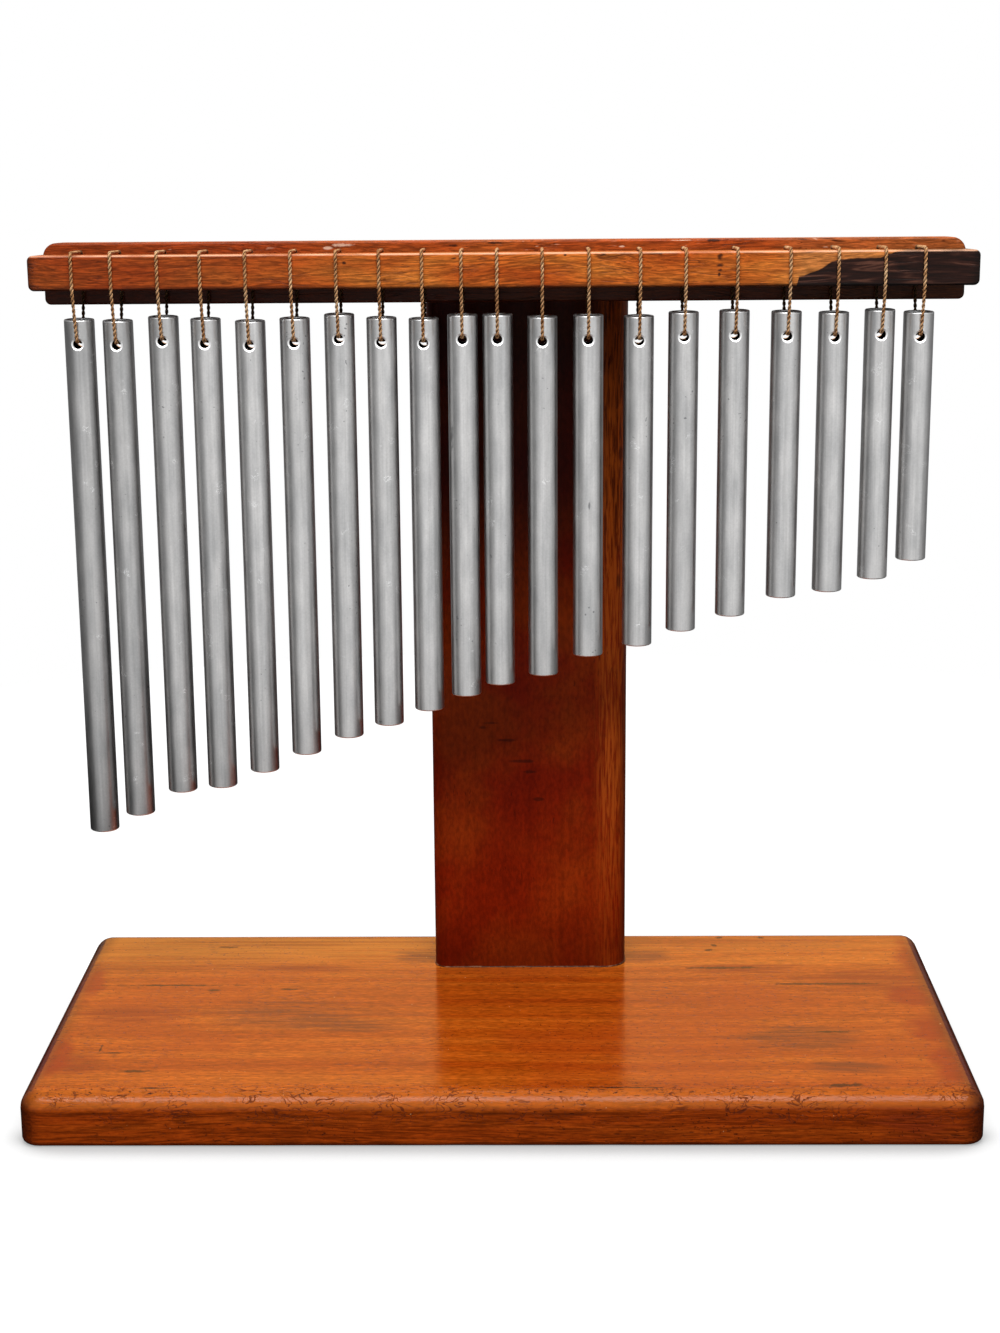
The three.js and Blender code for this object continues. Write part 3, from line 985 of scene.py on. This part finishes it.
def post_wood():
    material, nodes = new_material("post_wood")
    wood = Grain(nodes, 2, 0.008)
    place = wood.place
    x, y, z = nodes.parts(place)
    broad = nodes.noise(place, 24, 3)
    warm = {0.3: (112, 22, 2), 0.5: (128, 31, 4), 0.7: (146, 50, 9)}
    coat = Coat(nodes, broad, warm)
    brown = nodes.times(nodes.span(z, 0.06, 0.12), nodes.span(broad, 0.4, 0.6))
    coat.cover(brown, 0.5, (138, 56, 9))
    coat.shade(wood.streaks(0.09, 0.0025, 3, 0.6), 0.9, 1.08)
    fine = wood.streaks(0.003, 0.0014, 3, 0.65)
    coat.shade(fine, 0.78, 1.2)
    # Painted shade on the post's front face behind the tubes, below the rails.
    painted_shade_behind_tubes = nodes.times(nodes.span(z, 0.16, 0.27), nodes.span(y, 0.0535, 0.0485))
    coat.darken(nodes.span(painted_shade_behind_tubes, 0.0, 1.0, 1.0, 0.22))
    # Painted shade: darker towards the foot, where the post meets the base.
    coat.darken(nodes.span(z, 0.06, 0.024, 1.0, 0.62))
    # A paler streaky band on the rounded right front corner: worn grain, with a painted highlight that grows
    # stronger higher up.
    combed = wood.streaks(0.016, 0.0009, 3, 0.6, 0.6)
    worn = nodes.times(nodes.span(x, 0.039, 0.048), nodes.span(combed, 0.38, 0.6, 0.15, 1.0))
    coat.cover(worn, nodes.span(z, 0.03, 0.12, 0.2, 0.8), (194, 92, 27))
    coat.cover(nodes.span(x, 0.0525, 0.0555), 0.6, (74, 24, 6))
    torn = ragged(nodes, place, 140, 1.8)
    coat.cover(marks(nodes, place, POST_MARKS, torn), 0.6, (44, 14, 5))
    gate = nodes.span(nodes.noise(place, 40, 2), 0.5, 0.65)
    pores = wood.dashes(0.004, 0.0007, gate)
    coat.cover(pores, 0.6, (52, 14, 5))
    wood_surface(nodes, coat, fine, pores, 0.3, shine=0.06)
    return material


RAIL_NICKS = [
    (91.1, 2.6, 350.5, 1.5, 3, 1.7), (91.2, 2.6, 347.0, 1.9, 3, 0.8),
    (91.2, 2.6, 345.1, 1.9, 3, 0.9), (91.1, 2.6, 343.4, 0.7, 3, 1.0), (66, 2.6, 352, 3.4, 3, 0.8),
    (27.8, 2.6, 351.7, 0.9, 3, 0.8), (43.7, 2.6, 352, 1.4, 3, 0.6), (-18, 2.6, 350.6, 1.6, 3, 0.6),
    (-63, 2.6, 349, 1.2, 3, 0.9), (90, 28.2, 355.4, 4, 3, 0.8), (-20, 28.2, 354, 5, 3, 0.8),
    (-2, 28.2, 355, 6, 3, 0.6),
]
RAIL_SCUFFS = [
    (-65, 28.2, 354.6, 5.5, 2, 1.0), (-72, 28.2, 353.4, 2.5, 2, 0.7), (78, 28.2, 355.6, 6, 2, 0.25),
    (52, 28.2, 353.2, 1.6, 2, 0.4),
]
BETWEEN_RAILS = (26.8 * MM, 27.5 * MM)


def rail_wood():
    material, nodes = new_material("rail_wood")
    wood = Grain(nodes, 0, 0.02)
    place = wood.place
    x, y, z = nodes.parts(place)
    broad = wood.streaks(0.05, 0.012, 3)
    warm = {0.3: (178, 76, 24), 0.5: (204, 104, 38), 0.7: (224, 132, 54)}
    coat = Coat(nodes, broad, warm)
    coat.cover(nodes.span(x, 0.0, -0.15), 0.8, (146, 52, 20))
    coat.cover(nodes.span(x, 0.112, 0.128), 0.45, (222, 156, 88))
    behind = nodes.span(y, *BETWEEN_RAILS)
    coat.cover(behind, 0.72, (156, 64, 25))
    coat.shade(wood.streaks(0.015, 0.0012, 3, 0.65, 1.0), 0.56, 1.16, 0.12)
    fine = wood.streaks(0.006, 0.0006, 2, 0.6, 0.5)
    coat.shade(fine, 0.72, 1.14, 0.14)
    patches = nodes.noise(place, 34, 2)
    long_cracks = wood.cracks(0.045, 0.003, nodes.span(patches, 0.5, 0.6))
    short_cracks = wood.cracks(0.03, 0.0016, nodes.span(patches, 0.44, 0.36))
    cracks = nodes.larger(long_cracks, short_cracks)
    coat.cover(cracks, 0.55, (60, 20, 8))
    pores = wood.dashes(0.0032, 0.0005, nodes.span(patches, 0.4, 0.6, 0.3, 1.0))
    coat.cover(pores, 0.7, (66, 24, 9))
    torn = ragged(nodes, place, 300, 1.7)
    coat.blend(heartwood(nodes, place), heartwood_coat(nodes, wood).tint)
    coat.cover(marks(nodes, place, RAIL_NICKS, torn), 0.9, (38, 17, 10))
    coat.cover(marks(nodes, place, RAIL_SCUFFS, torn), 0.7, (240, 206, 180))
    # Painted shade at the rails' rounded ends and lower edges, and on the back rail below the front rail.
    coat.darken(painted_rail_rim_shade(nodes, place))
    # A painted highlight along the front rail's top front edge.
    coat.cover(painted_edge_highlight(nodes, wood), 0.8, (244, 186, 150))
    seam = nodes.times(nodes.span(z, 0.3515, 0.353), nodes.span(patches, 0.5, 0.62))
    coat.cover(wood.dashes(0.005, 0.0011, seam), 0.7, (226, 180, 150))
    wood_surface(nodes, coat, fine, cracks, 0.34)
    return material


def painted_rail_rim_shade(nodes, place):
    """A factor of painted shade that darkens the rounded ends and lower edges of both rails, and the back
    rail below the front rail.
    """
    x, _, z = nodes.parts(place)
    low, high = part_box("front_rail")
    from_middle = nodes.math("ABSOLUTE", nodes.minus(x, (low.x + high.x) / 2))
    half = (high.x - low.x) / 2
    ends = nodes.span(from_middle, half - 4 * MM, half - 0.5 * MM, 1.0, 0.35)
    foot = nodes.span(z, low.z + 2.2 * MM, low.z + 0.5 * MM, 1.0, 0.28)
    return nodes.times(ends, foot)


def painted_edge_highlight(nodes, wood):
    """The painted highlight: a pale broken line along the top front edge of the front rail."""
    _, y, z = nodes.parts(wood.place)
    low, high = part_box("front_rail")
    near_top = nodes.span(z, high.z - 0.9 * MM, high.z - 0.35 * MM)
    near_front = nodes.span(y, low.y + 1.8 * MM, low.y + 1.0 * MM)
    whole = nodes.span(wood.streaks(0.02, 0.01, 3), 0.35, 0.55, 0.3, 1.0)
    return nodes.times(nodes.times(near_top, near_front), whole)


HEARTWOOD_FROM = 122.7 * MM
HEARTWOOD_TO = 170.2 * MM
HEARTWOOD_LOW = 337.6 * MM
HEARTWOOD_RISE = 15.4 * MM
HEARTWOOD_LINE = [
    (0.025, 0.29), (0.084, 0.36), (0.2, 0.5), (0.3, 0.675), (0.37, 0.745), (0.72, 0.785), (0.84, 0.915),
]


def heartwood(nodes, place):
    """The dark patch at the right end of the front rail: it lies below a line that climbs to the right."""
    x, y, z = nodes.parts(place)
    jag = ragged(nodes, place, 180, 1.6 * MM)
    share = nodes.add("ShaderNodeMapRange", {0: x, 1: HEARTWOOD_FROM, 2: HEARTWOOD_TO})
    curve = nodes.add("ShaderNodeFloatCurve", {1: share})
    points = curve.node.mapping.curves[0].points
    for across, up in HEARTWOOD_LINE:
        points.new(across, up).handle_type = "VECTOR"
    line = nodes.plus(nodes.times(curve, HEARTWOOD_RISE), HEARTWOOD_LOW)
    below = nodes.minus(nodes.plus(line, jag), z)
    right = nodes.span(x, HEARTWOOD_FROM - 0.5 * MM, HEARTWOOD_FROM + 0.5 * MM)
    in_front = nodes.span(y, *reversed(BETWEEN_RAILS))
    inside = nodes.span(below, -0.3 * MM, 0.3 * MM)
    return nodes.times(nodes.times(inside, right), in_front)


def heartwood_coat(nodes, wood):
    dark = {0.34: (20, 8, 5), 0.52: (38, 18, 13), 0.6: (54, 30, 23), 0.7: (94, 60, 48)}
    coat = Coat(nodes, wood.streaks(0.05, 0.0024, 2, 0.5, 1.8), dark)
    coat.shade(wood.streaks(0.006, 0.0006, 2), 0.7, 1.18)
    return coat


TUBE_DENTS = [
    (-154.5, 8, 320, 0.8, 2, 1.4), (-20, 9, 276, 1.0, 3, 8), (-53, 8, 151.5, 1.6, 2, 0.8),
    (38, 8, 202, 0.6, 2, 0.6), (40, 8, 200, 0.6, 2, 0.6), (36.5, 8, 199, 0.5, 2, 0.6),
    (38, 8, 246, 0.6, 2, 2.0), (147, 8, 285, 0.9, 2, 3),
]


def aluminium():
    material, nodes = new_material("tube_aluminium")
    place = nodes.place()
    x = nodes.parts(place)[0]
    fresh = nodes.add("ShaderNodeAttribute", {}, "Fac", attribute_name="fresh")
    bore = nodes.add("ShaderNodeAttribute", {}, "Fac", attribute_name="bore")
    drawn = nodes.streaks(place, (0.0011, 0.0011, 0.07), 3, 0.6)
    cloud = nodes.streaks(place, (0.005, 0.005, 0.018), 3)
    patch = nodes.noise(place, 30, 2)
    coat = Coat(nodes, cloud, {0.3: (186, 186, 186), 0.7: (214, 213, 212)})
    coat.shade(drawn, 0.9, 1.06)
    coat.shade(nodes.noise(place, 1100, 3, 0.65), 0.95, 1.04)
    # Painted shade: the tubes darken towards the left end.
    coat.darken(nodes.span(x, -0.18, -0.1, 0.8, 1.0))
    specks = nodes.span(nodes.noise(place, 620, 1), 0.71, 0.76)
    specks = nodes.times(specks, nodes.span(patch, 0.5, 0.62))
    dents = nodes.larger(specks, marks(nodes, place, TUBE_DENTS, ragged(nodes, place, 400, 1.2)))
    coat.cover(dents, 0.65, (84, 86, 90))
    curls = nodes.winding_lines(nodes.noise(place, 300, 2, 0.6, 2.5), 0.03, 0.01)
    pale = nodes.times(curls, nodes.span(nodes.noise(place, 130, 1), 0.66, 0.72))
    coat.cover(pale, 0.8, (250, 250, 250))
    coat.cover(fresh, 1.0, (232, 232, 232))
    # Painted shade: the bore is dark inside.
    coat.cover(bore, 1.0, (46, 46, 48))
    dull = nodes.span(cloud, 0.3, 0.7, 0.29, 0.34)
    rough = nodes.plus(dull, nodes.times(fresh, 0.1))
    height = nodes.minus(nodes.times(drawn, 0.3), dents)
    bump = nodes.bump(height, METAL_RELIEF, 0.3)
    nodes.surface(Base_Color=coat.tint, Metallic=1.0, Roughness=rough, Normal=bump)
    return material


def twine_fibre():
    material, nodes = new_material("twine")
    place = nodes.place()
    y = nodes.parts(place)[1]
    crest = nodes.add("ShaderNodeAttribute", {}, "Fac", attribute_name="crest")
    long = nodes.noise(place, 160, 3)
    short = nodes.noise(place, 2200, 2)
    brown = {0.3: (158, 106, 64), 0.5: (192, 142, 96), 0.7: (224, 184, 140)}
    coat = Coat(nodes, long, brown)
    coat.shade(short, 0.76, 1.14)
    # Painted shade in the grooves where the yarns meet, a little lighter on their crests.
    coat.darken(nodes.span(crest, 0.25, 0.7, 0.25, 1.1))
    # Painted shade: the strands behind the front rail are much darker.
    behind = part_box("front_rail")[1].y - TWINE_DIAMETER
    coat.darken(nodes.span(y, behind - 5 * MM, behind, 1.0, 0.3))
    bump = nodes.bump(short, TWINE_RELIEF, 0.5)
    nodes.surface(Base_Color=coat.tint, Roughness=0.88, Normal=bump, Specular_IOR_Level=0.2)
    return material


def zinc():
    material, nodes = new_material("screw_zinc")
    dull = nodes.noise(nodes.place(), 900, 3)
    coat = Coat(nodes, dull, {0.35: (150, 146, 132), 0.65: (196, 192, 180)})
    nodes.surface(Base_Color=coat.tint, Metallic=1.0, Roughness=nodes.span(dull, 0.3, 0.7, 0.28, 0.48))
    return material


def dried_glue():
    material, nodes = new_material("glue")
    lumps = nodes.noise(nodes.place(), 400, 2)
    coat = Coat(nodes, lumps, {0.45: (66, 28, 14), 0.7: (142, 94, 66)})
    rough = nodes.span(lumps, 0.3, 0.7, 0.3, 0.5)
    nodes.surface(Base_Color=coat.tint, Roughness=rough, Specular_IOR_Level=0.2)
    return material


# Floor, light and backdrop


def ray_kinds(nodes):
    """Two sockets: 1 for rays that see the white surroundings as they are, and 1 for reflected rays."""
    paths = nodes.add("ShaderNodeLightPath", {}).node.outputs
    straight = nodes.larger(paths["Is Camera Ray"], paths["Is Transmission Ray"])
    return straight, paths["Is Glossy Ray"]


def make_floor():
    """A white floor that keeps the object's shadow and fades into the white behind it."""
    shape = bmesh.new()
    bmesh.ops.create_circle(shape, cap_ends=True, radius=FLOOR_RADIUS, segments=FLOOR_SIDES)
    floor = object_from("floor", shape)
    material, nodes = new_material("floor")
    straight, glossy = ray_kinds(nodes)
    place = nodes.place()
    y = nodes.parts(place)[1]
    away = nodes.vector("LENGTH", place, (0, 0, 0), "Value")
    far = nodes.larger(nodes.span(away, *FADE_ROUND), nodes.span(y, *FADE_BEHIND))
    white = nodes.span(far, 0.0, 1.0, 1 - FLOOR_TONE, 1.0)
    opening = nodes.add("ShaderNodeAmbientOcclusion", {"Distance": CONTACT_REACH}, "AO")
    closed = nodes.times(nodes.span(opening, 1.0, 0.4), nodes.span(y, *CONTACT_IN_FRONT, 0.35, 1.0))
    shaded = nodes.times(white, nodes.span(closed, 0.0, 1.0, 1.0, 1 - CONTACT_SHADE))
    matt = nodes.add("ShaderNodeBsdfDiffuse", {"Color": grey(FLOOR_TONE)})
    glow = nodes.add("ShaderNodeEmission", {"Strength": nodes.times(straight, shaded)})
    lit = nodes.add("ShaderNodeAddShader", {0: matt, 1: glow})
    mirrored = nodes.add("ShaderNodeEmission", {"Strength": nodes.span(y, *MIRRORED_IN_FRONT, 0.02, 0.9)})
    both = nodes.add("ShaderNodeMixShader", {0: glossy, 1: lit, 2: mirrored})
    nodes.add("ShaderNodeOutputMaterial", {"Surface": both})
    paint(floor, material)


def make_key_lamp():
    light = bpy.data.lights.new("key", "AREA")
    light.shape = "RECTANGLE"
    light.size = KEY_WIDTH
    light.size_y = KEY_HEIGHT
    light.energy = KEY_POWER
    lamp = bpy.data.objects.new("key", light)
    lamp.location = KEY_PLACE
    lamp.rotation_euler = (KEY_AIM - KEY_PLACE).to_track_quat("-Z", "Y").to_euler()
    bpy.context.scene.collection.objects.link(lamp)


def make_world():
    """White behind the object. Shiny surfaces see a room with a bright front, dark sides and, at the rear, a
    white strip over the horizon and a warm wall above it. Matt surfaces see a soft light from the rear."""
    world = bpy.data.worlds.new("studio")
    world.use_nodes = True
    bpy.context.scene.world = world
    nodes = Nodes(world.node_tree)
    straight, glossy = ray_kinds(nodes)
    way = nodes.vector("NORMALIZE", nodes.add("ShaderNodeTexCoord", {}, "Generated"), (0, 0, 0))
    x, y, z = nodes.parts(way)
    flat = nodes.larger(nodes.math("SQRT", nodes.plus(nodes.times(x, x), nodes.times(y, y))), 0.001)
    brightest = (math.sin(ROOM_TURN), -math.cos(ROOM_TURN), 0)
    facing = nodes.vector("DOT_PRODUCT", way, brightest, "Value")
    facing = nodes.math("DIVIDE", facing, flat)
    turn = nodes.add("ShaderNodeMapRange", {0: facing, 1: -1.0, 2: 1.0})
    level = nodes.ramp(turn, [(place, grey(tone)) for place, tone in ROOM_TONES])
    above = nodes.ramp(turn, [(place, grey(tone)) for place, tone in HIGH_TONES])
    straight_back = nodes.math("DIVIDE", y, flat)
    above = nodes.mix(nodes.span(straight_back, *REAR_WALL_SIDES), above, REAR_WALL)
    over_horizon = nodes.times(nodes.span(z, *STRIP_FOOT), nodes.span(y, *STRIP_SIDES))
    seen = nodes.mix(over_horizon, level, grey(1.0))
    seen = nodes.mix(nodes.span(z, *STRIP_TOP), seen, above)
    soft = nodes.span(y, *BACKDROP_EDGE, FRONT_LIGHT, BACKDROP_LIGHT)
    lit = nodes.mix(glossy, soft, seen)
    final = nodes.mix(straight, lit, grey(1.0))
    background = nodes.add("ShaderNodeBackground", {"Color": final})
    nodes.add("ShaderNodeOutputWorld", {"Surface": background})


def build():
    make_camera()
    twine = twine_fibre()
    metal = aluminium()
    for number in range(1, CHIMES + 1):
        make_twine(number, twine)
        make_tube(number, metal)
    make_base(base_wood())
    make_post(post_wood())
    rails = rail_wood()
    rail_screws = [f"rail_screw_{number}" for number in range(1, 5)]
    make_rail("rear_bar", "back_rail", BACK_RAIL_SHOULDER, BACK_RAIL_HEEL, rail_screws, rails, seed=5)
    make_rail("front_bar", "front_rail", FRONT_RAIL_CORNER, FRONT_RAIL_CORNER, [], rails, seed=8)
    make_glue(dried_glue())
    bright = zinc()
    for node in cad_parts:
        if "screw" in node:
            make_screw(node, bright)
    make_floor()
    make_world()
    make_key_lamp()
    bpy.context.scene.view_settings.view_transform = "Standard"


build()
